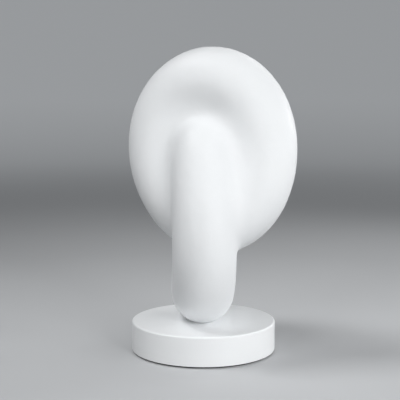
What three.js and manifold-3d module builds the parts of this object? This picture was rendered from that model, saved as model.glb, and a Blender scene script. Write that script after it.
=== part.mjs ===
// Infinity sculpture: two fat round loops that pass through each other, cast in one piece and bolted down on a
// round disc base. Millimetres, +Z up, the viewer of the front stands at -Y. The origin is the middle of the
// underside, on the axis of the base.

import * as THREE from 'three';
import { mergeVertices } from 'three/addons/utils/BufferGeometryUtils.js';
import Module from 'manifold-3d';

// Base disc and the non-slip rubber pad under it
const baseDiameter = 132;
const baseHeight = 26.8;
const baseEdge = 1.6;
const padDiameter = 127;
const padHeight = 1.4;

// Each loop is an oval ring. middle is x and y from the base's axis. halfWidth and halfHeight are those of its
// centre line, and tube is the radius round that line. turn is about the vertical, lean is backwards and roll is
// in the loop's own plane, in degrees. sway bows the centre line backwards out of its plane twice round the loop,
// and swell bulges the oval three times round it, each as a cosine and a sine part. sink is how much of the lower
// loop's underside is cut off flat where it stands on the base, and rise is how far the upper loop's middle lies
// above the lower one's.
const lowerLoop = {
  middle: [1.2, 11.1],
  sink: 2.8,
  halfWidth: 54.1,
  halfHeight: 70.8,
  tube: 28.5,
  turn: 89,
  lean: -1.7,
  roll: -6.5,
  sway: [0, -1.7],
  swell: [1.9, 0],
};
const upperLoop = {
  middle: [7.4, -1.1],
  rise: 61.6,
  halfWidth: 47.0,
  halfHeight: 61.7,
  tube: 31.9,
  turn: -19,
  lean: 7.9,
  roll: 8.6,
  sway: [2.6, -1.4],
  swell: [-0.6, 1],
};

// Fillet where the loops meet: its width at a place, as x and y from the base's axis and z from the lower loop's
// middle, how much wider it gets with each millimetre to the right, backwards and up from there, and its least
// width
const loopFillet = 13;
const filletPlace = [0, -28, 43];
const filletGrowth = [0.08, -0.03, 0.1];
const leastFillet = 6;

// Length of the casting's facets, how far an edge's middle may lie off the skin before the edge is split, and
// the number of facets round the small pieces and round the base
const facet = 7.2;
const skinTolerance = 0.22;
const smallSteps = 40;
const baseSteps = 80;

// Bolt, washers and insert in the middle of the flat underside
const boltDiameter = 8;
const boltLength = 35;
const boltTip = 1;
const headAcross = 13;
const headHeight = 5.3;
const headroom = 1.2;
const lockWasherDiameter = 14.4;
const lockWasherHeight = 2;
const lockWasherGap = 1.4;
const washerDiameter = 20;
const washerHeight = 1.6;
const washerRoom = 2;
const insertWall = 1.7;
const insertLength = 16;
const insertGroove = 1.5;

// Dowels in front of the bolt and behind it
const dowelDiameter = 4;
const dowelLength = 14;
const dowelSpread = 12.5;
const dowelChamfer = 0.5;

// Room round every piece that sits in a hole
const clearance = 0.3;

// Sizes that follow from the ones above
const baseTop = padHeight + baseHeight;
const headFloor = padHeight + headroom;
const lockWasherFloor = headFloor + headHeight;
const washerFloor = lockWasherFloor + lockWasherHeight;
const washerTop = washerFloor + washerHeight;
const boltTop = lockWasherFloor + boltLength;
const boltHole = boltDiameter + 2 * clearance;
const insertDiameter = boltHole + 2 * insertWall;
const insertTop = baseTop + insertLength;
const dowelFloor = baseTop - dowelLength / 2;
const dowelTop = baseTop + dowelLength / 2;
const wasm = await Module();
wasm.setup();

const matteWhite = new THREE.MeshStandardMaterial({ color: 0xf0f0f1, roughness: 0.55, metalness: 0 });
const darkRubber = new THREE.MeshStandardMaterial({ color: 0x1b1c1e, roughness: 0.85, metalness: 0 });
const zincSteel = new THREE.MeshStandardMaterial({ color: 0xb4b7ba, roughness: 0.35, metalness: 1 });
const brass = new THREE.MeshStandardMaterial({ color: 0xc79a4b, roughness: 0.4, metalness: 1 });

// Solids that can be joined and cut

function toSolid(geometry) {
  const bare = geometry.clone();
  bare.deleteAttribute('normal');
  bare.deleteAttribute('uv');
  const merged = mergeVertices(bare, 1e-4);
  const vertProperties = new Float32Array(merged.attributes.position.array);
  const triVerts = new Uint32Array(merged.index.array);
  return new wasm.Manifold(new wasm.Mesh({ numProp: 3, vertProperties, triVerts }));
}

function toGeometry(solid) {
  const mesh = solid.getMesh();
  const geometry = new THREE.BufferGeometry();
  geometry.setAttribute('position', new THREE.BufferAttribute(new Float32Array(mesh.vertProperties), 3));
  geometry.setIndex(new THREE.BufferAttribute(new Uint32Array(mesh.triVerts), 1));
  geometry.computeVertexNormals();
  return geometry;
}

// A solid turned about the vertical line through place. Its outline is a list of [radius, height], upwards on
// the outside, that starts and ends on the line or closes on itself.
function turned(outline, place, steps = smallSteps) {
  const points = outline.map(([radius, height]) => new THREE.Vector2(radius, height));
  const geometry = new THREE.LatheGeometry(points, steps);
  geometry.rotateX(Math.PI / 2);
  geometry.translate(place[0], place[1], 0);
  return toSolid(geometry);
}

function rod(diameter, floor, top, place, steps) {
  const radius = diameter / 2;
  return turned([[0, floor], [radius, floor], [radius, top], [0, top]], place, steps);
}

function ring(outer, inner, floor, top) {
  return rod(outer, floor, top, footPlace).subtract(rod(inner, floor - clearance, top + clearance, footPlace));
}

// The casting: how far a point is from its skin, negative inside

function frameOf(loop, height) {
  const [turn, lean, roll] = [loop.turn, loop.lean, loop.roll].map(THREE.MathUtils.degToRad);
  const vertical = new THREE.Vector3(0, 0, 1);
  const level = new THREE.Vector3(Math.cos(turn), Math.sin(turn), 0);
  const facing = new THREE.Vector3(-Math.sin(turn), Math.cos(turn), 0);
  const upright = vertical.clone().multiplyScalar(Math.cos(lean)).addScaledVector(facing, Math.sin(lean));
  const wide = level.clone().multiplyScalar(Math.cos(roll)).addScaledVector(upright, Math.sin(roll));
  const high = upright.clone().multiplyScalar(Math.cos(roll)).addScaledVector(level, -Math.sin(roll));
  const middle = new THREE.Vector3(loop.middle[0], loop.middle[1], height);
  return { middle, wide, high, through: new THREE.Vector3().crossVectors(high, wide) };
}

function swellAt({ swell }, angle) {
  return swell[0] * Math.cos(3 * angle) + swell[1] * Math.sin(3 * angle);
}

function swayAt({ sway }, angle) {
  return sway[0] * Math.cos(2 * angle) + sway[1] * Math.sin(2 * angle);
}

// Distance from an oval tube: the nearest angle on the oval is found in a few Newton steps
function tubeDistance(point, loop, frame) {
  const { halfWidth, halfHeight, tube } = loop;
  const offset = point.clone().sub(frame.middle);
  const x = offset.dot(frame.wide);
  const y = offset.dot(frame.high);
  const z = offset.dot(frame.through);
  const flattest = 0.3 * Math.min(halfWidth, halfHeight) ** 2;
  let angle = Math.atan2(y / halfHeight, x / halfWidth);
  for (let step = 0; step < 4; step += 1) {
    const [c, s] = [Math.cos(angle), Math.sin(angle)];
    const dx = halfWidth * c - x;
    const dy = halfHeight * s - y;
    const slope = halfHeight * c * dy - halfWidth * s * dx;
    const bend = (halfWidth * s) ** 2 + (halfHeight * c) ** 2 - halfWidth * c * dx - halfHeight * s * dy;
    angle -= slope / Math.max(bend, flattest);
  }
  const bulge = swellAt(loop, angle);
  const dx = (halfWidth + bulge) * Math.cos(angle) - x;
  const dy = (halfHeight + bulge) * Math.sin(angle) - y;
  return Math.hypot(dx, dy, swayAt(loop, angle) - z) - tube;
}

function filleted(first, second, fillet) {
  const overlap = Math.max(fillet - Math.abs(first - second), 0) / fillet;
  return Math.min(first, second) - overlap * overlap * fillet / 4;
}

// The lowest point of a loop's centre line
function lowestOf(loop, frame) {
  let lowest = frame.middle;
  for (let angle = 0; angle < 2 * Math.PI; angle += 0.01) {
    const x = (loop.halfWidth + swellAt(loop, angle)) * Math.cos(angle);
    const y = (loop.halfHeight + swellAt(loop, angle)) * Math.sin(angle);
    const point = frame.middle.clone().addScaledVector(frame.wide, x).addScaledVector(frame.high, y)
      .addScaledVector(frame.through, swayAt(loop, angle));
    if (point.z < lowest.z) lowest = point;
  }
  return lowest;
}

const lowerFrame = frameOf(lowerLoop, 0);
const lowest = lowestOf(lowerLoop, lowerFrame);
lowerFrame.middle.z = baseTop + lowerLoop.tube - lowerLoop.sink - lowest.z;
const upperFrame = frameOf(upperLoop, lowerFrame.middle.z + upperLoop.rise);

// The bolt and the dowels stand where the lower loop comes lowest
const footPlace = [lowest.x, lowest.y];
const dowelPlaces = [-1, 1].map((side) => [footPlace[0], footPlace[1] + side * dowelSpread]);

function filletAt(point) {
  const [right, back, up] = filletGrowth;
  const [x, y, z] = filletPlace;
  const growth = right * (point.x - x) + back * (point.y - y) + up * (point.z - lowerFrame.middle.z - z);
  return Math.max(loopFillet + growth, leastFillet);
}

function castingDistance(point) {
  const lower = tubeDistance(point, lowerLoop, lowerFrame);
  const upper = tubeDistance(point, upperLoop, upperFrame);
  return filleted(lower, upper, filletAt(point));
}

// Grid points round the shape, with the distance at each of them
function sampled(distanceAt, low, high, cell) {
  const counts = high.clone().sub(low).divideScalar(cell).ceil().addScalar(1).toArray();
  const at = (i, j, k) => (k * counts[1] + j) * counts[0] + i;
  const place = (i, j, k) => new THREE.Vector3(i, j, k).multiplyScalar(cell).add(low);
  const values = new Float32Array(counts[0] * counts[1] * counts[2]);
  eachCell([0, 0, 0], counts, (i, j, k) => {
    values[at(i, j, k)] = distanceAt(place(i, j, k));
  });
  return { counts, at, place, values };
}

function eachCell(from, to, visit) {
  for (let k = from[2]; k < to[2]; k += 1) {
    for (let j = from[1]; j < to[1]; j += 1) {
      for (let i = from[0]; i < to[0]; i += 1) visit(i, j, k);
    }
  }
}

const cubeCorners = [];
const cubeEdges = [];
for (let corner = 0; corner < 8; corner += 1) {
  cubeCorners.push(new THREE.Vector3(corner & 1, (corner >> 1) & 1, corner >> 2));
  for (const bit of [1, 2, 4]) if (!(corner & bit)) cubeEdges.push([corner, corner | bit]);
}

// A closed skin where the distance is zero: one vertex in each grid cell that the skin crosses, moved onto the
// skin, and one four-sided facet round each grid edge that the skin crosses
function skinOn(grid, distanceAt, cell) {
  const { counts, at, place, values } = grid;
  const vertices = [];
  const vertexAt = new Map();
  eachCell([0, 0, 0], counts.map((count) => count - 1), (i, j, k) => {
    const ends = cubeCorners.map((corner) => values[at(i + corner.x, j + corner.y, k + corner.z)]);
    const crossed = cubeEdges.filter(([a, b]) => (ends[a] < 0) !== (ends[b] < 0));
    if (crossed.length === 0) return;
    const sum = new THREE.Vector3();
    for (const [a, b] of crossed) {
      sum.add(cubeCorners[a].clone().lerp(cubeCorners[b], ends[a] / (ends[a] - ends[b])));
    }
    sum.divideScalar(crossed.length);
    vertexAt.set(at(i, j, k), vertices.length);
    vertices.push(ontoSkin(distanceAt, place(i + sum.x, j + sum.y, k + sum.z), cell));
  });
  const index = [];
  const steps = [[1, 0, 0], [0, 1, 0], [0, 0, 1]];
  eachCell([1, 1, 1], counts.map((count) => count - 1), (i, j, k) => {
    const inside = values[at(i, j, k)] < 0;
    steps.forEach(([x, y, z], axis) => {
      if (inside === (values[at(i + x, j + y, k + z)] < 0)) return;
      const u = steps[(axis + 1) % 3];
      const v = steps[(axis + 2) % 3];
      const corners = [[1, 1], [0, 1], [0, 0], [1, 0]].map(([a, b]) => vertexAt.get(
        at(i - a * u[0] - b * v[0], j - a * u[1] - b * v[1], k - a * u[2] - b * v[2])));
      if (!inside) corners.reverse();
      addFacet(index, vertices, corners);
    });
  });
  return { vertices, index };
}

// Steps along the steepest way, so that a vertex lies on the skin
function ontoSkin(distanceAt, point, cell) {
  const reach = cell / 20;
  const slopeAlong = (spot, axis) => {
    const [ahead, behind] = [spot.clone(), spot.clone()];
    ahead.setComponent(axis, spot.getComponent(axis) + reach);
    behind.setComponent(axis, spot.getComponent(axis) - reach);
    return (distanceAt(ahead) - distanceAt(behind)) / (2 * reach);
  };
  const spot = point.clone();
  for (let step = 0; step < 3; step += 1) {
    const slope = new THREE.Vector3(slopeAlong(spot, 0), slopeAlong(spot, 1), slopeAlong(spot, 2));
    spot.addScaledVector(slope, -distanceAt(spot) / Math.max(slope.lengthSq(), 0.2));
  }
  return spot;
}

// Splits a four-sided facet across its shorter diagonal
function addFacet(index, vertices, [a, b, c, d]) {
  const short = vertices[a].distanceTo(vertices[c]) < vertices[b].distanceTo(vertices[d]);
  if (short) index.push(a, b, c, a, c, d);
  else index.push(b, c, d, b, d, a);
}

// Splits every edge whose middle lies off the skin, and moves that middle onto it
function refine(skin, distanceAt, cell) {
  const { vertices, index } = skin;
  const middles = new Map();
  const middleOf = (a, b) => {
    const edge = a < b ? `${a} ${b}` : `${b} ${a}`;
    if (!middles.has(edge)) {
      const middle = vertices[a].clone().lerp(vertices[b], 0.5);
      const isOff = Math.abs(distanceAt(middle)) > skinTolerance;
      if (isOff) vertices.push(ontoSkin(distanceAt, middle, cell));
      middles.set(edge, isOff ? vertices.length - 1 : -1);
    }
    return middles.get(edge);
  };
  const finer = [];
  for (let start = 0; start < index.length; start += 3) {
    let [a, b, c] = index.slice(start, start + 3);
    let [ab, bc, ca] = [middleOf(a, b), middleOf(b, c), middleOf(c, a)];
    const splits = [ab, bc, ca].filter((middle) => middle >= 0).length;
    // turned so that the sides to split come first
    while ((splits === 1 && ab < 0) || (splits === 2 && ca >= 0)) {
      [a, b, c] = [b, c, a];
      [ab, bc, ca] = [bc, ca, ab];
    }
    if (splits === 0) finer.push(a, b, c);
    if (splits === 1) finer.push(a, ab, c, ab, b, c);
    if (splits === 2) finer.push(ab, b, bc, a, ab, bc, a, bc, c);
    if (splits === 3) finer.push(a, ab, ca, ab, b, bc, ca, bc, c, ab, bc, ca);
  }
  skin.index = finer;
}

function isPinched(index) {
  const seen = new Set();
  for (let start = 0; start < index.length; start += 3) {
    for (let side = 0; side < 3; side += 1) {
      const edge = `${index[start + side]} ${index[start + (side + 1) % 3]}`;
      if (seen.has(edge)) return true;
      seen.add(edge);
    }
  }
  return false;
}

// Two sheets of the skin that share an edge would pinch the casting, so the grid then moves on a little
function skinOf(distanceAt, low, high, cell) {
  const shift = 0.15;
  let skin;
  for (let tries = 0; tries < 6; tries += 1) {
    const start = low.clone().subScalar(tries * shift * cell);
    skin = skinOn(sampled(distanceAt, start, high, cell), distanceAt, cell);
    if (!isPinched(skin.index)) break;
  }
  for (let round = 0; round < 2; round += 1) refine(skin, distanceAt, cell);
  const geometry = new THREE.BufferGeometry();
  geometry.setFromPoints(skin.vertices);
  geometry.setIndex(skin.index);
  return toSolid(geometry);
}

function dowelHoles(floor, top) {
  const [front, back] = dowelPlaces.map((place) => rod(dowelDiameter + 2 * clearance, floor, top, place));
  return front.add(back);
}

function makeCasting() {
  const box = new THREE.Box3();
  for (const [loop, frame] of [[lowerLoop, lowerFrame], [upperLoop, upperFrame]]) {
    const span = Math.max(loop.halfWidth, loop.halfHeight) + loop.tube + 2 * facet;
    box.expandByPoint(frame.middle.clone().addScalar(span));
    box.expandByPoint(frame.middle.clone().subScalar(span));
  }
  const room = box.getSize(new THREE.Vector3()).length();
  const above = new THREE.BoxGeometry(room, room, room);
  above.translate(0, 0, baseTop + room / 2);
  const below = baseTop - dowelLength;
  return skinOf(castingDistance, box.min, box.max, facet)
    .intersect(toSolid(above))
    .subtract(rod(insertDiameter + 2 * clearance, below, insertTop + clearance, footPlace))
    .subtract(rod(boltHole, below, boltTop + clearance, footPlace))
    .subtract(dowelHoles(below, dowelTop + clearance));
}

function makeBase() {
  const radius = baseDiameter / 2;
  const chamfer = baseEdge / 2;
  const outline = [[0, padHeight], [radius - chamfer, padHeight], [radius, padHeight + chamfer]];
  const edgeSteps = 3;
  for (let step = 0; step <= edgeSteps; step += 1) {
    const angle = step / edgeSteps * Math.PI / 2;
    const out = radius - baseEdge + baseEdge * Math.cos(angle);
    outline.push([out, baseTop - baseEdge + baseEdge * Math.sin(angle)]);
  }
  outline.push([0, baseTop]);
  const beyond = baseTop + clearance;
  return turned(outline, [0, 0], baseSteps)
    .subtract(rod(washerDiameter + 2 * washerRoom, 0, washerTop, footPlace))
    .subtract(rod(boltHole, 0, beyond, footPlace))
    .subtract(dowelHoles(dowelFloor - clearance, beyond));
}

function makeFootPad() {
  return rod(padDiameter, 0, padHeight, [0, 0], baseSteps);
}

function makeBolt() {
  const corner = headAcross / Math.sqrt(3);
  const head = new THREE.CylinderGeometry(corner, corner, headHeight, 6);
  head.rotateX(Math.PI / 2);
  head.translate(footPlace[0], footPlace[1], headFloor + headHeight / 2);
  const radius = boltDiameter / 2;
  const inHead = headFloor + headHeight / 2;
  const shank = turned([[0, inHead], [radius, inHead], [radius, boltTop - boltTip],
    [radius - boltTip, boltTop], [0, boltTop]], footPlace);
  return toSolid(head).add(shank);
}

// The lock washer is a ring with a slot cut through one side
function makeLockWasher() {
  const slot = new THREE.BoxGeometry(lockWasherDiameter, lockWasherGap, 2 * lockWasherHeight);
  slot.translate(footPlace[0] + lockWasherDiameter / 2, footPlace[1], lockWasherFloor + lockWasherHeight / 2);
  return ring(lockWasherDiameter, boltHole, lockWasherFloor, washerFloor).subtract(toSolid(slot));
}

function makeFlatWasher() {
  return ring(washerDiameter, boltHole, washerFloor, washerTop);
}

// A groove round the insert keeps it from pulling out of the cast resin
function makeInsert() {
  const grooveDepth = insertGroove / 2;
  const radius = insertDiameter / 2;
  const middle = (baseTop + insertTop) / 2;
  const outline = [[0, baseTop], [radius, baseTop], [radius, middle - insertGroove],
    [radius - grooveDepth, middle - grooveDepth], [radius - grooveDepth, middle + grooveDepth],
    [radius, middle + insertGroove], [radius, insertTop], [0, insertTop]];
  return turned(outline, footPlace)
    .subtract(rod(boltHole, baseTop - clearance, insertTop + clearance, footPlace));
}

function makeDowel(place) {
  const radius = dowelDiameter / 2;
  const tip = radius - dowelChamfer;
  return turned([[0, dowelFloor], [tip, dowelFloor], [radius, dowelFloor + dowelChamfer],
    [radius, dowelTop - dowelChamfer], [tip, dowelTop], [0, dowelTop]], place);
}

const sculpture = new THREE.Group();

function addPiece(name, solid, material) {
  const piece = new THREE.Mesh(toGeometry(solid), material);
  piece.name = name;
  sculpture.add(piece);
}

addPiece('looped_body', makeCasting(), matteWhite);
addPiece('base', makeBase(), matteWhite);
addPiece('foot_pad', makeFootPad(), darkRubber);
addPiece('threaded_insert', makeInsert(), brass);
addPiece('clamp_bolt', makeBolt(), zincSteel);
addPiece('lock_washer', makeLockWasher(), zincSteel);
addPiece('flat_washer', makeFlatWasher(), zincSteel);
dowelPlaces.forEach((place, index) => addPiece(`dowel_${index + 1}`, makeDowel(place), zincSteel));

export default sculpture;
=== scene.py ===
import math

import bpy
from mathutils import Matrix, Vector


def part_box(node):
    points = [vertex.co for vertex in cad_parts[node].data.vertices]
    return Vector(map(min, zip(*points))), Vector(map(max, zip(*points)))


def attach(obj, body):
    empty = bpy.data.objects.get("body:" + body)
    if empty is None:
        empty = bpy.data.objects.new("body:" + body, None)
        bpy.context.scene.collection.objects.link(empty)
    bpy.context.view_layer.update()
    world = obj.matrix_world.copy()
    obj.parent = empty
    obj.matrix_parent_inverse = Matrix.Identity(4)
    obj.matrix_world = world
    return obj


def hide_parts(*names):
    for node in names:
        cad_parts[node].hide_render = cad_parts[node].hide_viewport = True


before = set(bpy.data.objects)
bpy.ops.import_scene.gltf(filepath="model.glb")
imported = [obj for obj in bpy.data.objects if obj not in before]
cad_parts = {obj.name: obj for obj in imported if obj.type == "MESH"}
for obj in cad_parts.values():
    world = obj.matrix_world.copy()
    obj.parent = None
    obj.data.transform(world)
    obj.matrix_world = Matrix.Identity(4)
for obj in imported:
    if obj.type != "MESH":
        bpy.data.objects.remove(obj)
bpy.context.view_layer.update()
print("frame loaded,", len(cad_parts), "CAD nodes")


# What several pieces share. Lengths are in metres and angles in degrees, here and below.

sharedValues = {
    "boreClearance": 0.0003,        # round every piece that sits in a hole
    "boltHole": 0.0043,             # radius of the bolt's hole in the base, the washers and the insert
    "overrun": 0.001,               # how far a drill goes on past the faces that it opens
    "drillSides": 48,
    "rimSteps": 3,
    "smoothAngle": 30,              # edges sharper than this stay sharp
    "level": 0.9999,                # least upright share of the normal of a level face
    "near": 0.0001,                 # a face's middle may be this far from the height asked for
}


# Helpers for working by operator: each step starts from a clean selection

def deselectAll():
    if bpy.context.object and bpy.context.object.mode != "OBJECT":
        bpy.ops.object.mode_set(mode="OBJECT")
    bpy.ops.object.select_all(action="DESELECT")


def pickOnly(piece):
    deselectAll()
    bpy.context.view_layer.objects.active = piece
    piece.select_set(True)


def nameNewPiece(name):
    piece = bpy.context.object
    piece.name = name
    piece.data.name = name
    return piece


def editFaces(piece, wanted):       # opens edit mode with just the wanted faces selected
    pickOnly(piece)
    bpy.ops.object.mode_set(mode="EDIT")
    bpy.ops.mesh.select_mode(type="FACE")
    bpy.ops.mesh.select_all(action="DESELECT")
    bpy.ops.object.mode_set(mode="OBJECT")
    for face in piece.data.polygons:
        face.select = wanted(face.center, face.normal)
    bpy.ops.object.mode_set(mode="EDIT")


def editAll(piece):                 # opens edit mode with all of the mesh selected
    pickOnly(piece)
    bpy.ops.object.mode_set(mode="EDIT")
    bpy.ops.mesh.select_mode(type="FACE")
    bpy.ops.mesh.select_all(action="SELECT")


def levelFaces(way, height):        # a test for the faces at this height that face up (1) or down (-1)
    def isWanted(center, normal):
        return way * normal.z > sharedValues["level"] and abs(center.z - height) < sharedValues["near"]
    return isWanted


def applyModifier(piece, kind, **settings):
    pickOnly(piece)
    modifier = piece.modifiers.new(kind.lower(), kind)
    for setting, value in settings.items():
        setattr(modifier, setting, value)
    bpy.ops.object.modifier_apply(modifier=modifier.name)


def combine(piece, operation, other):       # the other object is used up
    applyModifier(piece, "BOOLEAN", operation=operation, object=other, solver="EXACT")
    bpy.data.objects.remove(other)


def settleInMesh(piece):            # the object ends at the origin, its place is in the mesh
    pickOnly(piece)
    bpy.ops.object.transform_apply(location=True, rotation=True, scale=True)


def smoothByAngle(piece, degrees):
    pickOnly(piece)
    bpy.ops.object.shade_smooth_by_angle(angle=math.radians(degrees))


def finishPiece(piece, material, slot, *nodes):
    piece.data.materials.clear()
    piece.data.materials.append(material)
    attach(piece, "root")
    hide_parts(*nodes)
    print("made", piece.name, "with", len(piece.data.polygons), "faces")


# Places and sizes from the frame. Every round node stands upright.

def middleOf(node):
    low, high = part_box(node)
    return (low + high) / 2


def radiusOf(node):
    low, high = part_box(node)
    return (high.y - low.y) / 2


def boreOf(node):                   # the hole that a round piece sits in: its middle, radius and top
    clearance = sharedValues["boreClearance"]
    return middleOf(node), radiusOf(node) + clearance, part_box(node)[1].z + clearance


def makeCylinder(middle, radius, floor, top, sides):
    deselectAll()
    bpy.ops.mesh.primitive_cylinder_add(vertices=sides, radius=radius, depth=top - floor,
                                        location=(middle.x, middle.y, (floor + top) / 2))
    return bpy.context.object


def drillHole(piece, middle, radius, floor, top):
    combine(piece, "DIFFERENCE", makeCylinder(middle, radius, floor, top, sharedValues["drillSides"]))


def drillThrough(piece, middle, radius, floor, top):
    overrun = sharedValues["overrun"]
    drillHole(piece, middle, radius, floor - overrun, top + overrun)


# Camera: it stands in front and a little above, looking slightly down, as the photograph was taken

cameraValues = {
    "place": (-0.0031, -0.925, 0.257),
    "lookDown": 7.25,
    "lens": 91.9,                   # mm, as is the sensor's width
    "sensor": 36,
}


def makeCamera():
    values = cameraValues
    tilt = math.radians(90 - values["lookDown"])
    deselectAll()
    bpy.ops.object.camera_add(location=values["place"], rotation=(tilt, 0, 0))
    camera = bpy.context.object
    camera.data.sensor_width = values["sensor"]
    camera.data.lens = values["lens"]
    bpy.context.scene.camera = camera
    print("camera set")


# Studio: a round pale floor that curves up all round, soft lamps mostly in front and to the right, a dim sky

studioValues = {
    "floorColor": (0.56, 0.568, 0.58),
    "floorRoughness": 0.9,
    "floorGloss": 0.1,
    "mottle": (3, 2),               # these two as for the materials below
    "mottleFade": (0.35, 0.65),
    "mottleShade": 0.985,
    "glow": 0.27,                   # what the camera sees far off, where less light falls
    "glowFrom": (0.5, 2.4),         # distances from the middle between which the glow grows
    "bounceColor": (0.25, 0.255, 0.26),     # what the room throws back on the sculpture
    "roomRadius": 3.0,
    "roomHeight": 1.6,
    "roomSides": 96,
    "coveRadius": 1.2,
    "coveSteps": 24,
    "skyColor": (0.93, 0.965, 1.0),
    "skyStrength": 0.09,
    "lampDistance": 1.3,
    "lampSide": 0.5,
    "lampAim": 0.12,                # height of the point that every lamp faces
    "lampSpread": 90,               # a grid on each lamp keeps its light off the floor below it
    "lampColor": (0.99, 0.997, 1.0),
    # turn to the right from the front, height angle, power in watts
    "lamps": {
        "lamp_front": (0, 14, 0.72),
        "lamp_right_front": (30, 14, 1.68),
        "lamp_right": (60, 14, 1.06),
        "lamp_far_right": (90, 14, 0.58),
        "lamp_right_back": (120, 14, 1.02),
        "lamp_high_back": (150, 35, 0.54),
        "lamp_left_front": (-35, 14, 0.88),
        "lamp_left_top": (-90, 60, 2.08),
    },
}


def makeRoom():
    values = studioValues
    height = values["roomHeight"]
    makeCylinder(Vector((0, 0, 0)), values["roomRadius"], 0, height, values["roomSides"])
    room = nameNewPiece("studio_room")
    settleInMesh(room)
    editFaces(room, levelFaces(1, height))
    bpy.ops.mesh.delete(type="FACE")
    editAll(room)
    bpy.ops.mesh.flip_normals()
    editFaces(room, levelFaces(1, 0))
    bpy.ops.mesh.bevel(offset=values["coveRadius"], segments=values["coveSteps"], profile=0.5)
    bpy.ops.object.mode_set(mode="OBJECT")
    bpy.ops.object.shade_smooth()
    room.data.materials.append(floorPaper())


def makeSky():
    world = bpy.data.worlds.new("studio_sky")
    world.use_nodes = True
    sky = world.node_tree.nodes["Background"]
    sky.inputs["Color"].default_value = (*studioValues["skyColor"], 1)
    sky.inputs["Strength"].default_value = studioValues["skyStrength"]
    bpy.context.scene.world = world


def makeLamp(name, turn, height, power):
    values = studioValues
    across, up = math.radians(turn), math.radians(height)
    way = Vector((math.sin(across) * math.cos(up), -math.cos(across) * math.cos(up), math.sin(up)))
    aim = Vector((0, 0, values["lampAim"]))
    deselectAll()
    bpy.ops.object.light_add(type="AREA", location=aim + way * values["lampDistance"],
                             rotation=way.to_track_quat("Z", "Y").to_euler())
    lamp = bpy.context.object
    lamp.name = name
    lamp.data.shape = "SQUARE"
    lamp.data.size = values["lampSide"]
    lamp.data.energy = power
    lamp.data.color = values["lampColor"]
    lamp.data.spread = math.radians(values["lampSpread"])
    lamp.visible_camera = False


def makeStudio():
    makeRoom()
    makeSky()
    for name, (turn, height, power) in studioValues["lamps"].items():
        makeLamp(name, turn, height, power)
    bpy.context.scene.view_settings.view_transform = "Standard"
    print("studio set, with", len(studioValues["lamps"]), "lamps")


# Materials: all procedural, on object coordinates. In their values a noise is its scale and detail, a fade is
# where it starts and ends on the noise, and a bump is its strength and height.

def newMaterial(name):
    material = bpy.data.materials.new(name)
    material.use_nodes = True
    tree = material.node_tree
    coordinates = tree.nodes.new("ShaderNodeTexCoord").outputs["Object"]
    return material, tree, tree.nodes["Principled BSDF"], coordinates


def noiseOn(tree, coordinates, noiseValues):
    noise = tree.nodes.new("ShaderNodeTexNoise")
    noise.inputs["Scale"].default_value, noise.inputs["Detail"].default_value = noiseValues
    tree.links.new(coordinates, noise.inputs["Vector"])
    return noise.outputs["Fac"]


def fadeOn(tree, factor, fade, first, last):        # from one grey or colour to another
    ramp = tree.nodes.new("ShaderNodeValToRGB")
    for element, place, tone in zip(ramp.color_ramp.elements, fade, (first, last)):
        element.position = place
        element.color = (*tone, 1) if isinstance(tone, tuple) else (tone, tone, tone, 1)
    tree.links.new(factor, ramp.inputs["Fac"])
    return ramp.outputs["Color"]


def multiplyColors(tree, first, second):
    mix = tree.nodes.new("ShaderNodeMix")
    mix.data_type = "RGBA"
    mix.blend_type = "MULTIPLY"
    mix.inputs["Factor"].default_value = 1.0
    tree.links.new(first, mix.inputs["A"])
    tree.links.new(second, mix.inputs["B"])
    return mix.outputs["Result"]


def mathOn(tree, operation, first, second):
    node = tree.nodes.new("ShaderNodeMath")
    node.operation = operation
    tree.links.new(first, node.inputs[0])
    tree.links.new(second, node.inputs[1])
    return node.outputs["Value"]


def bumpOn(tree, shader, height, bumpValues, below=None):
    bump = tree.nodes.new("ShaderNodeBump")
    bump.inputs["Strength"].default_value, bump.inputs["Distance"].default_value = bumpValues
    tree.links.new(height, bump.inputs["Height"])
    if below:
        tree.links.new(below, bump.inputs["Normal"])
    tree.links.new(bump.outputs["Normal"], shader.inputs["Normal"])
    return bump.outputs["Normal"]


# Pale paper, as the camera and what mirrors or lets light through see it. Other rays see the bounce colour.
def floorPaper():
    values = studioValues
    material, tree, shader, coordinates = newMaterial("floor_paper")
    shader.inputs["Roughness"].default_value = values["floorRoughness"]
    shader.inputs["Specular IOR Level"].default_value = values["floorGloss"]
    pale = values["floorColor"]
    deeper = tuple(values["mottleShade"] * part for part in pale)
    mottle = fadeOn(tree, noiseOn(tree, coordinates, values["mottle"]), values["mottleFade"], deeper, pale)
    rays = tree.nodes.new("ShaderNodeLightPath").outputs
    seen = rays["Is Camera Ray"]
    for kind in ("Is Glossy Ray", "Is Transmission Ray"):
        seen = mathOn(tree, "MAXIMUM", seen, rays[kind])
    mix = tree.nodes.new("ShaderNodeMix")
    mix.data_type = "RGBA"
    mix.inputs["A"].default_value = (*values["bounceColor"], 1)
    tree.links.new(seen, mix.inputs["Factor"])
    tree.links.new(mottle, mix.inputs["B"])
    tree.links.new(mix.outputs["Result"], shader.inputs["Base Color"])
    distance = tree.nodes.new("ShaderNodeVectorMath")
    distance.operation = "LENGTH"
    tree.links.new(coordinates, distance.inputs[0])
    growth = tree.nodes.new("ShaderNodeMapRange")
    growth.inputs["From Min"].default_value, growth.inputs["From Max"].default_value = values["glowFrom"]
    growth.inputs["To Max"].default_value = values["glow"]
    tree.links.new(distance.outputs["Value"], growth.inputs["Value"])
    shader.inputs["Emission Color"].default_value = (*values["skyColor"], 1)
    glow = mathOn(tree, "MULTIPLY", growth.outputs["Result"], seen)
    tree.links.new(glow, shader.inputs["Emission Strength"])
    return material


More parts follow.
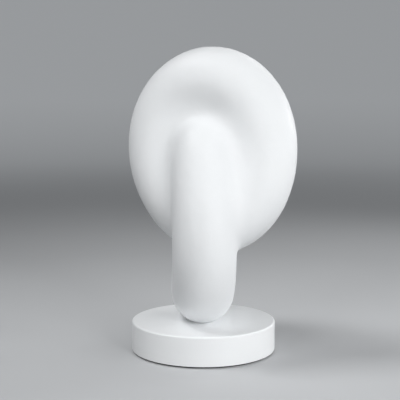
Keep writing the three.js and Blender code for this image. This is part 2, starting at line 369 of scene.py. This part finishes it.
resinValues = {
    "clouds": (14, 4),              # of tone, a hand's breadth apart
    "cloudFade": (0.3, 0.7),
    "grain": (1500, 2),             # of the sprayed coat
    "grainFade": (0.25, 0.45),
    "grainShade": 0.97,
    "grainBump": (0.5, 0.00004),
    "edgeFade": (0.50, 0.56),       # of the painted edge highlight, on the pointiness
    "wear": (90, 3),                # patches of sheen
    "wearFade": (0.35, 0.65),
    "waves": (55, 1),               # of the surface, about 2 cm long
    "waveBump": (0.35, 0.00012),
}


# Matt white coat on cast resin: soft clouds of tone, a fine spray grain, a painted highlight on sharp edges
# and an uneven sheen
def mattResin(name, coat):
    values = resinValues
    material, tree, shader, coordinates = newMaterial(name)
    shader.inputs["Specular IOR Level"].default_value = coat["gloss"]
    clouds = fadeOn(tree, noiseOn(tree, coordinates, values["clouds"]), values["cloudFade"],
                    coat["deep"], coat["pale"])
    grain = noiseOn(tree, coordinates, values["grain"])
    color = multiplyColors(tree, clouds, fadeOn(tree, grain, values["grainFade"], values["grainShade"], 1.0))
    pointiness = tree.nodes.new("ShaderNodeNewGeometry").outputs["Pointiness"]
    # painted highlight: sharp outward edges are made lighter by the coat's edge factor
    color = multiplyColors(tree, color, fadeOn(tree, pointiness, values["edgeFade"], 1.0, coat["edgeHighlight"]))
    tree.links.new(color, shader.inputs["Base Color"])
    smoothest, roughest = coat["roughness"]
    sheen = fadeOn(tree, noiseOn(tree, coordinates, values["wear"]), values["wearFade"], smoothest, roughest)
    tree.links.new(sheen, shader.inputs["Roughness"])
    waves = bumpOn(tree, shader, noiseOn(tree, coordinates, values["waves"]), values["waveBump"])
    bumpOn(tree, shader, grain, values["grainBump"], waves)
    return material


rubberValues = {
    "gloss": 0.3,
    "dark": (0.012, 0.013, 0.015),
    "dusty": (0.035, 0.036, 0.038),
    "dust": (240, 5),
    "dustFade": (0.4, 0.7),
    "roughness": (0.7, 0.92),
    "wear": (500, 3),
    "wearFade": (0.3, 0.7),
    "grain": (1800, 4),
    "grainBump": (0.7, 0.0001),
}


def mattRubber():
    values = rubberValues
    material, tree, shader, coordinates = newMaterial("matt_rubber")
    shader.inputs["Specular IOR Level"].default_value = values["gloss"]
    dust = fadeOn(tree, noiseOn(tree, coordinates, values["dust"]), values["dustFade"],
                  values["dark"], values["dusty"])
    tree.links.new(dust, shader.inputs["Base Color"])
    wear = fadeOn(tree, noiseOn(tree, coordinates, values["wear"]), values["wearFade"], *values["roughness"])
    tree.links.new(wear, shader.inputs["Roughness"])
    bumpOn(tree, shader, noiseOn(tree, coordinates, values["grain"]), values["grainBump"])
    return material


metalValues = {
    "tarnish": (320, 5),
    "tarnishFade": (0.35, 0.7),
    "rings": (60, 4),
    "ringStretch": 60,              # how much finer the noise is along the axis than across it
    "ringFade": (0.3, 0.7),
    "ringBump": (0.3, 0.00005),
    "zinc_steel": {"bright": (0.66, 0.67, 0.68), "dull": (0.52, 0.53, 0.55), "roughness": (0.22, 0.44)},
    "turned_brass": {"bright": (0.80, 0.60, 0.30), "dull": (0.68, 0.48, 0.22), "roughness": (0.26, 0.48)},
}


def turnedMetal(name):              # drawn or turned metal, with fine rings round the upright pieces
    values = metalValues
    tones = values[name]
    material, tree, shader, coordinates = newMaterial(name)
    shader.inputs["Metallic"].default_value = 1.0
    tarnish = noiseOn(tree, coordinates, values["tarnish"])
    tree.links.new(fadeOn(tree, tarnish, values["tarnishFade"], tones["dull"], tones["bright"]),
                   shader.inputs["Base Color"])
    mapping = tree.nodes.new("ShaderNodeMapping")
    mapping.inputs["Scale"].default_value = (1, 1, values["ringStretch"])
    tree.links.new(coordinates, mapping.inputs["Vector"])
    rings = noiseOn(tree, mapping.outputs["Vector"], values["rings"])
    tree.links.new(fadeOn(tree, rings, values["ringFade"], *tones["roughness"]), shader.inputs["Roughness"])
    bumpOn(tree, shader, rings, values["ringBump"])
    return material


# The casting: its CAD skin without its bores, made fine and smooth, cut flat where it stands and drilled

castingValues = {
    "fineness": 0.0012,             # size of the fine skin's faces
    "subdivisions": 2,
    "smoothTurns": 3,
    "smoothShare": 0.5,
    "smoothAngle": 50,
    "weld": 0.00001,                # corners of the CAD skin nearer than this are one
    "boreMargin": 0.0002,           # within this, a face of the CAD skin belongs to a bore
    "cutMargin": 0.00002,           # and within this, to the flat underside
    "cutPrecision": 0.000001,       # and this near to the cut, a corner counts as on it
    "underDrop": 0.002,             # the skin goes on under the cut, and gets narrower there
    "underTaper": 0.72,
    "coat": {
        "pale": (0.848, 0.860, 0.871),
        "deep": (0.820, 0.833, 0.846),
        "edgeHighlight": 1.0,            # 1 leaves the edges as they are
        "roughness": (0.46, 0.60),
        "gloss": 0.35,
    },
}


def makeCastLoops():
    values = castingValues
    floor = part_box("looped_body")[0].z
    bores = [boreOf(node) for node in ("threaded_insert", "dowel_1", "dowel_2")]

    def isUnderside(center, normal):
        margin = values["boreMargin"]
        inBore = [math.dist(center.xy, middle.xy) < radius + margin and center.z < top + margin
                  for middle, radius, top in bores]
        return center.z < floor + values["cutMargin"] or any(inBore)

    piece = bpy.data.objects.new("cast_loops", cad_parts["looped_body"].data.copy())
    piece.data.name = "cast_loops"
    bpy.context.scene.collection.objects.link(piece)
    editAll(piece)
    bpy.ops.mesh.remove_doubles(threshold=values["weld"])
    editFaces(piece, isUnderside)
    bpy.ops.mesh.delete(type="FACE")
    bpy.ops.mesh.select_mode(type="EDGE")
    bpy.ops.mesh.select_non_manifold()
    bpy.ops.mesh.extrude_region_move(TRANSFORM_OT_translate={"value": (0, 0, -values["underDrop"])})
    taper = values["underTaper"]
    bpy.ops.transform.resize(value=(taper, taper, 1), center_override=bores[0][0])
    bpy.ops.mesh.edge_face_add()
    bpy.ops.mesh.select_all(action="SELECT")
    bpy.ops.mesh.tris_convert_to_quads()
    applyModifier(piece, "SUBSURF", levels=values["subdivisions"])
    applyModifier(piece, "REMESH", mode="VOXEL", voxel_size=values["fineness"])
    applyModifier(piece, "SMOOTH", factor=values["smoothShare"], iterations=values["smoothTurns"])
    editAll(piece)
    bpy.ops.mesh.bisect(plane_co=(0, 0, floor), plane_no=(0, 0, 1), use_fill=True, clear_inner=True,
                        threshold=values["cutPrecision"])
    for middle, radius, top in bores:
        drillHole(piece, middle, radius, floor - sharedValues["overrun"], top)
    smoothByAngle(piece, values["smoothAngle"])
    finishPiece(piece, mattResin("casting_white", values["coat"]), "casting", "looped_body")


# The base: a turned disc with a soft upper edge, a smaller one below, and the counterbore for the bolt

baseValues = {
    "sides": 256,
    "topEdge": 0.0016,
    "topEdgeSteps": 5,
    "bottomEdge": 0.0008,
    "bottomEdgeSteps": 2,
    "counterboreRoom": 0.002,       # round the flat washer
    "coat": {
        "pale": (0.882, 0.893, 0.902),
        "deep": (0.858, 0.870, 0.880),
        "edgeHighlight": 1.02,           # painted highlight: the rim is painted a little lighter
        "roughness": (0.42, 0.54),
        "gloss": 0.4,
    },
}


def makeRoundBase():
    values = baseValues
    low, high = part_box("base")
    radius = radiusOf("base")
    hole = middleOf("flat_washer")
    counterbore = radiusOf("flat_washer") + values["counterboreRoom"]
    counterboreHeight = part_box("flat_washer")[1].z - low.z
    boltHole = sharedValues["boltHole"]
    isTop, isBottom = levelFaces(1, high.z), levelFaces(-1, low.z)
    makeCylinder(Vector((0, 0, 0)), radius, low.z, high.z, values["sides"])
    piece = nameNewPiece("round_base")
    settleInMesh(piece)
    editFaces(piece, isTop)
    bpy.ops.mesh.bevel(offset=values["topEdge"], segments=values["topEdgeSteps"], profile=0.5)
    editFaces(piece, isBottom)
    bpy.ops.mesh.bevel(offset=values["bottomEdge"], segments=values["bottomEdgeSteps"], profile=0.5)
    # the counterbore and the bolt hole go up from below, and meet the hole in the top
    editFaces(piece, isBottom)
    bpy.ops.mesh.inset(thickness=radius - values["bottomEdge"] - counterbore)
    bpy.ops.transform.translate(value=(hole.x, hole.y, 0))
    bpy.ops.mesh.extrude_region_move(TRANSFORM_OT_translate={"value": (0, 0, counterboreHeight)})
    bpy.ops.mesh.inset(thickness=counterbore - boltHole)
    bpy.ops.mesh.delete(type="FACE")
    editFaces(piece, isTop)
    bpy.ops.mesh.inset(thickness=radius - values["topEdge"] - boltHole)
    bpy.ops.transform.translate(value=(hole.x, hole.y, 0))
    bpy.ops.mesh.delete(type="FACE")
    bpy.ops.mesh.select_mode(type="EDGE")
    bpy.ops.mesh.select_non_manifold()
    bpy.ops.mesh.bridge_edge_loops()
    for node in ("dowel_1", "dowel_2"):
        middle, boreRadius, _ = boreOf(node)
        drillHole(piece, middle, boreRadius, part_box(node)[0].z - sharedValues["boreClearance"],
                  high.z + sharedValues["overrun"])
    smoothByAngle(piece, sharedValues["smoothAngle"])
    applyModifier(piece, "WEIGHTED_NORMAL", keep_sharp=True)
    finishPiece(piece, mattResin("base_white", values["coat"]), "base", "base")


# A round disc with rounded rims, as large as its CAD node, for what is die-cut, stamped or turned

def makeDisc(name, node, middle, sides, rim):
    low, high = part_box(node)
    makeCylinder(middle, radiusOf(node), low.z, high.z, sides)
    piece = nameNewPiece(name)
    settleInMesh(piece)
    editFaces(piece, lambda center, normal: abs(normal.z) > sharedValues["level"])
    bpy.ops.mesh.bevel(offset=rim, segments=sharedValues["rimSteps"], profile=0.5)
    bpy.ops.object.mode_set(mode="OBJECT")
    return piece


# The rubber pad

padValues = {
    "sides": 192,
    "rim": 0.0003,
}


def makeFootPad(material):
    piece = makeDisc("rubber_pad", "foot_pad", middleOf("foot_pad"), padValues["sides"], padValues["rim"])
    smoothByAngle(piece, sharedValues["smoothAngle"])
    finishPiece(piece, material, "rubber", "foot_pad")


# The hardware that the pad hides: bolt, washers and insert round one axis, with a dowel on either side

hardwareValues = {
    "sides": 64,
    "rim": 0.0002,                  # rounding of stamped rims
    "startRadius": 0.001,           # of a post's slices, before each gets its own shape
}


# A post made of thin slices, whose radius at each angle and height comes from a function
def makePost(name, middle, floor, top, slices, radiusAt):
    deselectAll()
    bpy.ops.mesh.primitive_circle_add(vertices=hardwareValues["sides"], radius=hardwareValues["startRadius"],
                                      fill_type="NGON", location=(middle.x, middle.y, floor))
    piece = nameNewPiece(name)
    settleInMesh(piece)
    editAll(piece)
    for _ in range(slices):
        bpy.ops.mesh.extrude_region_move(TRANSFORM_OT_translate={"value": (0, 0, (top - floor) / slices)})
    bpy.ops.mesh.select_all(action="SELECT")
    bpy.ops.mesh.normals_make_consistent(inside=False)
    bpy.ops.object.mode_set(mode="OBJECT")
    for vertex in piece.data.vertices:
        across = vertex.co.xy - middle.xy
        wanted = radiusAt(math.atan2(across.y, across.x), vertex.co.z)
        vertex.co.xy = middle.xy + across.normalized() * wanted
    return piece


def triangleWave(turns):            # goes from 1 down to 0 and back up in every whole turn
    return abs(2 * (turns % 1) - 1)


# The hexagon bolt, with its thread and the chamfer on its head

boltValues = {
    "pitch": 0.00125,
    "threadDepth": 0.0006,
    "plainShank": 0.009,            # under the head, before the thread starts
    "slicesPerTurn": 8,
    "tipSlope": 0.6,                # how fast the radius shrinks along the last turn
    "inHead": 0.001,                # how deep the shank starts inside the head
    "headChamfer": 0.0062,          # radius of the flat on the head
    "headChamferAngle": 60,         # from the bolt's axis
    "smoothAngle": 25,
}


def makeHexBolt(material, middle):
    values = boltValues
    low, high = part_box("clamp_bolt")
    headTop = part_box("lock_washer")[0].z
    headHeight = headTop - low.z
    radius = sharedValues["boltHole"] - sharedValues["boreClearance"]
    pitch = values["pitch"]

    def threadAt(angle, height):    # the thread fades in over one turn and runs out at the tip
        turns = (height - headTop - values["plainShank"]) / pitch
        groove = triangleWave(turns - angle / math.tau) * min(max(turns, 0), 1)
        tip = max(height - (high.z - pitch), 0)
        return radius - values["threadDepth"] * groove - values["tipSlope"] * tip

    slices = round((high.z - headTop) / pitch * values["slicesPerTurn"])
    piece = makePost("hex_bolt", middle, headTop - values["inHead"], high.z, slices, threadAt)
    head = makeCylinder(middle, radiusOf("clamp_bolt"), low.z, headTop, 6)
    spread = headHeight * math.tan(math.radians(values["headChamferAngle"]))
    bpy.ops.mesh.primitive_cone_add(vertices=hardwareValues["sides"], depth=headHeight,
                                    radius1=values["headChamfer"], radius2=values["headChamfer"] + spread,
                                    location=(middle.x, middle.y, low.z + headHeight / 2))
    combine(head, "INTERSECT", bpy.context.object)
    combine(piece, "UNION", head)
    smoothByAngle(piece, values["smoothAngle"])
    finishPiece(piece, material, "steel", "clamp_bolt")


# The two washers. The lock washer is split by a slanted slot.

lockWasherValues = {
    "slot": 0.0014,
    "slant": 22,
}


def makeRing(name, node, middle):
    low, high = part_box(node)
    piece = makeDisc(name, node, middle, hardwareValues["sides"], hardwareValues["rim"])
    drillThrough(piece, middle, sharedValues["boltHole"], low.z, high.z)
    return piece


def makeFlatWasher(material, middle):
    piece = makeRing("stamped_washer", "flat_washer", middle)
    smoothByAngle(piece, sharedValues["smoothAngle"])
    finishPiece(piece, material, "steel", "flat_washer")


def makeLockWasher(material, middle):
    piece = makeRing("split_washer", "lock_washer", middle)
    reach = 2 * radiusOf("lock_washer")
    deselectAll()
    bpy.ops.mesh.primitive_cube_add(size=1, scale=(reach, lockWasherValues["slot"], reach),
                                    rotation=(math.radians(lockWasherValues["slant"]), 0, 0),
                                    location=(middle.x + reach / 2, middle.y, middleOf("lock_washer").z))
    combine(piece, "DIFFERENCE", bpy.context.object)
    smoothByAngle(piece, sharedValues["smoothAngle"])
    finishPiece(piece, material, "steel", "lock_washer")


# The brass insert: two knurled bands with a groove between them

insertValues = {
    "slices": 40,
    "knurls": 32,
    "knurlDepth": 0.0004,
    "grooveDepth": 0.00075,         # its floor is twice as wide, and its sides slope at 45 degrees
    "chamfer": 0.0006,
    "smoothAngle": 15,
}


def makeInsert(material, middle):
    values = insertValues
    low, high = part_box("threaded_insert")
    radius = radiusOf("threaded_insert")
    groove = values["grooveDepth"]

    def knurlAt(angle, height):
        fromMiddle = abs(height - (low.z + high.z) / 2)
        if fromMiddle < 2 * groove:
            return radius - min(groove, 2 * groove - fromMiddle)
        ridge = triangleWave(values["knurls"] * angle / math.tau)
        fromEnd = min(height - low.z, high.z - height)
        return radius - max(values["knurlDepth"] * ridge, values["chamfer"] - fromEnd)

    piece = makePost("knurled_insert", middle, low.z, high.z, values["slices"], knurlAt)
    drillThrough(piece, middle, sharedValues["boltHole"], low.z, high.z)
    smoothByAngle(piece, values["smoothAngle"])
    finishPiece(piece, material, "brass", "threaded_insert")


# The dowels: plain pins with rounded ends

dowelValues = {
    "rim": 0.0005,
}


def makeDowel(material, number):
    node = "dowel_" + number
    piece = makeDisc("pin_" + number, node, middleOf(node), hardwareValues["sides"], dowelValues["rim"])
    smoothByAngle(piece, sharedValues["smoothAngle"])
    finishPiece(piece, material, "steel", node)


makeCamera()
makeStudio()
makeCastLoops()
makeRoundBase()
makeFootPad(mattRubber())

zincSteel = turnedMetal("zinc_steel")
boltAxis = middleOf("flat_washer")
makeHexBolt(zincSteel, boltAxis)
makeLockWasher(zincSteel, boltAxis)
makeFlatWasher(zincSteel, boltAxis)
makeInsert(turnedMetal("turned_brass"), boltAxis)
makeDowel(zincSteel, "1")
makeDowel(zincSteel, "2")
